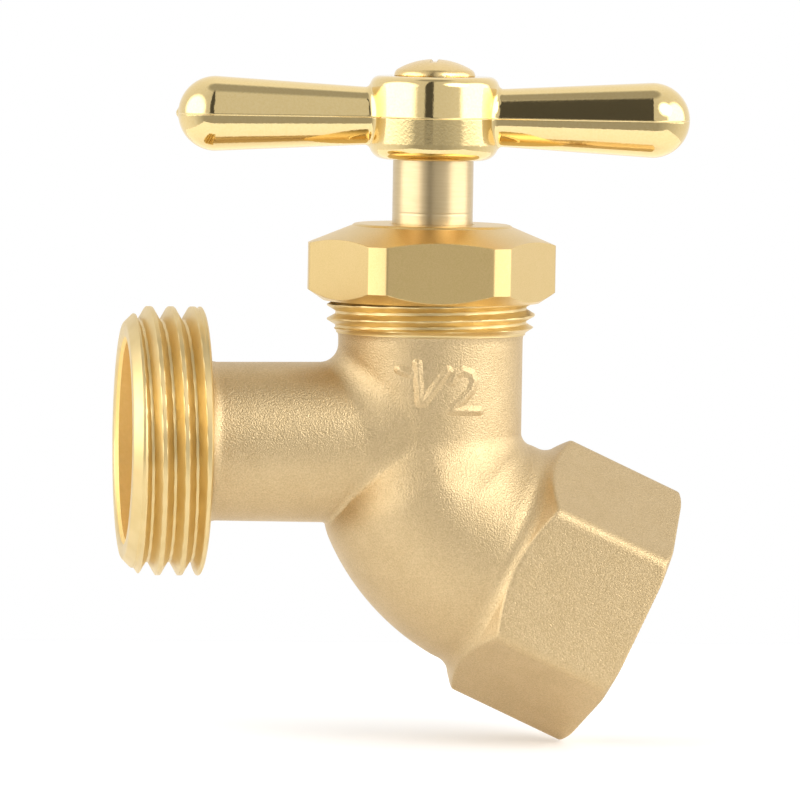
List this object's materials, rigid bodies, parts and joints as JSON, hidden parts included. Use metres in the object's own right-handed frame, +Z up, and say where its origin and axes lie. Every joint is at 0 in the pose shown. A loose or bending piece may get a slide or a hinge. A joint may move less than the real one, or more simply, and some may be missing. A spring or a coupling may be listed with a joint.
{
  "type": "garden tap",
  "caption": "Hose bibb with a tee handle: sloping threaded inlet socket, level hose outlet, and a screw-down spindle that lifts a seat washer.",
  "frame": {"origin": "centre of the inlet socket's mouth", "axes": "+Z up along the spindle, -X out of the hose outlet, the inlet slopes 25 degrees down towards +X, and the raised size mark faces -Y"},
  "size_m": [0.0565, 0.027, 0.0687],
  "materials": {
    "cast_body": "fine bead-blasted casting, machined threads",
    "nut": "machined, brushed",
    "inner_brass": "machined",
    "packing": "soft white packing",
    "turned_spindle": "turned",
    "washer_rubber": "matt",
    "polished_handle": "polished, pressed brass",
    "screw": "satin"
  },
  "bodies": {
    "valve_body": {"tap_body": "cast_body", "packing_nut": "nut", "gland_follower": "inner_brass", "stem_packing": "packing", "packing_washer": "inner_brass"},
    "washer_carriage": {"seat_washer": "washer_rubber"},
    "spindle_group": {"spindle": "turned_spindle", "seat_washer_screw": "inner_brass", "tee_handle": "polished_handle", "handle_screw": "screw"}
  },
  "joints": [
    {"name": "stem_rise", "type": "slide", "parent": "valve_body", "child": "washer_carriage", "axis": [0, 0, 1], "range_m": [0, 0.00525]},
    {"name": "handle_turn", "type": "hinge", "parent": "washer_carriage", "child": "spindle_group", "pos_m": [-0.0201, 0, 0.05038], "axis": [0, 0, 1], "range_deg": [0, 900]}
  ],
  "couplings": [
    {"joint": "stem_rise", "follows": "handle_turn", "m_per_rad": 0.00033423}
  ]
}
